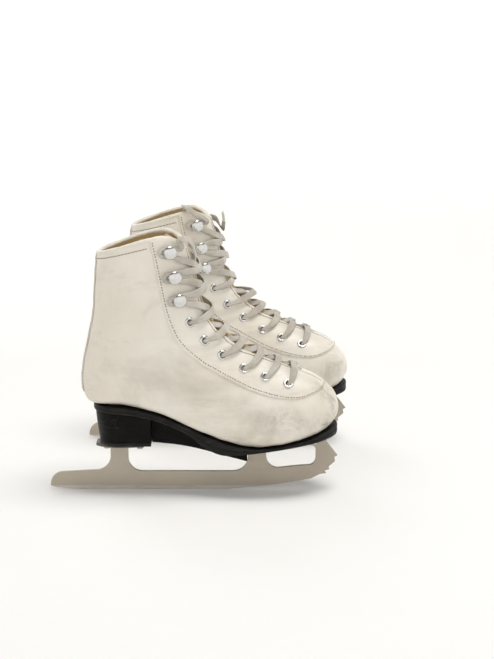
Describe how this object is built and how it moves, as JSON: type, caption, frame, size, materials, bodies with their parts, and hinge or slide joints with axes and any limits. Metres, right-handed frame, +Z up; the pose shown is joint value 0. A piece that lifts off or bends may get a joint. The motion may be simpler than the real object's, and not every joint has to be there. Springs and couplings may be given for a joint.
{
  "type": "ice skates",
  "caption": "Pair of laced figure skates: padded ankle-high boots on heeled soles, with steel blades that have a toe pick, standing upright side by side.",
  "frame": {"origin": "middle of the pair, on the ice under the blades", "axes": "+X towards the toes, +Y towards the left skate, +Z up"},
  "size_m": [0.3087, 0.2984, 0.2608],
  "materials": {
    "white_leather": "off-white synthetic leather with a fine grain, scuffed at the toe",
    "tan_felt": "tan brushed felt",
    "tan_leather": "smooth tan lining leather",
    "foam": "soft open foam",
    "fibre_board": "pressed fibre board",
    "black_rubber": "matt black moulded rubber",
    "black_plastic": "matt black moulded plastic",
    "steel": "plated steel",
    "blade_steel": "satin nickel-plated steel",
    "screw_steel": "zinc-plated steel",
    "bright_metal": "bright nickel plate",
    "lace_cotton": "flat woven off-white cotton",
    "clear_plastic": "clear plastic tip"
  },
  "bodies": {
    "right_skate": {"right_upper": "white_leather", "right_facing": "white_leather", "right_back_strip": "white_leather", "right_collar_binding": "white_leather", "right_lining": "tan_leather", "right_ankle_pads": "foam", "right_heel_counter": "fibre_board", "right_toe_puff": "fibre_board", "right_insole_board": "fibre_board", "right_footbed": "tan_felt", "right_outsole": "black_rubber", "right_heel_block": "black_plastic", "right_heel_lift": "black_rubber", "right_arch_web": "black_plastic", "right_shank": "steel", "right_blade": "blade_steel", "right_front_plate": "steel", "right_rear_plate": "steel", "right_front_screws": "screw_steel", "right_rear_screws": "screw_steel", "right_eyelets": "bright_metal", "right_eyelet_washers": "bright_metal", "right_hooks": "bright_metal", "right_hook_rivets": "bright_metal", "right_lace": "lace_cotton", "right_lace_tips": "clear_plastic"},
    "right_tongue_flap": {"right_tongue": "tan_felt"},
    "left_skate": {"left_upper": "white_leather", "left_facing": "white_leather", "left_back_strip": "white_leather", "left_collar_binding": "white_leather", "left_lining": "tan_leather", "left_ankle_pads": "foam", "left_heel_counter": "fibre_board", "left_toe_puff": "fibre_board", "left_insole_board": "fibre_board", "left_footbed": "tan_felt", "left_outsole": "black_rubber", "left_heel_block": "black_plastic", "left_heel_lift": "black_rubber", "left_arch_web": "black_plastic", "left_shank": "steel", "left_blade": "blade_steel", "left_front_plate": "steel", "left_rear_plate": "steel", "left_front_screws": "screw_steel", "left_rear_screws": "screw_steel", "left_eyelets": "bright_metal", "left_eyelet_washers": "bright_metal", "left_hooks": "bright_metal", "left_hook_rivets": "bright_metal", "left_lace": "lace_cotton", "left_lace_tips": "clear_plastic"},
    "left_tongue_flap": {"left_tongue": "tan_felt"}
  },
  "joints": [
    {"name": "left_skate_lift", "type": "slide", "parent": "right_skate", "child": "left_skate", "axis": [0, 0, 1], "range_m": [0, 0.3]},
    {"name": "right_tongue_flex", "type": "hinge", "parent": "right_skate", "child": "right_tongue_flap", "pos_m": [0.0867, -0.105, 0.118], "axis": [0, -1, 0], "range_deg": [0, 6]},
    {"name": "left_tongue_flex", "type": "hinge", "parent": "left_skate", "child": "left_tongue_flap", "pos_m": [0.1067, 0.105, 0.118], "axis": [0, -1, 0], "range_deg": [0, 6]}
  ]
}
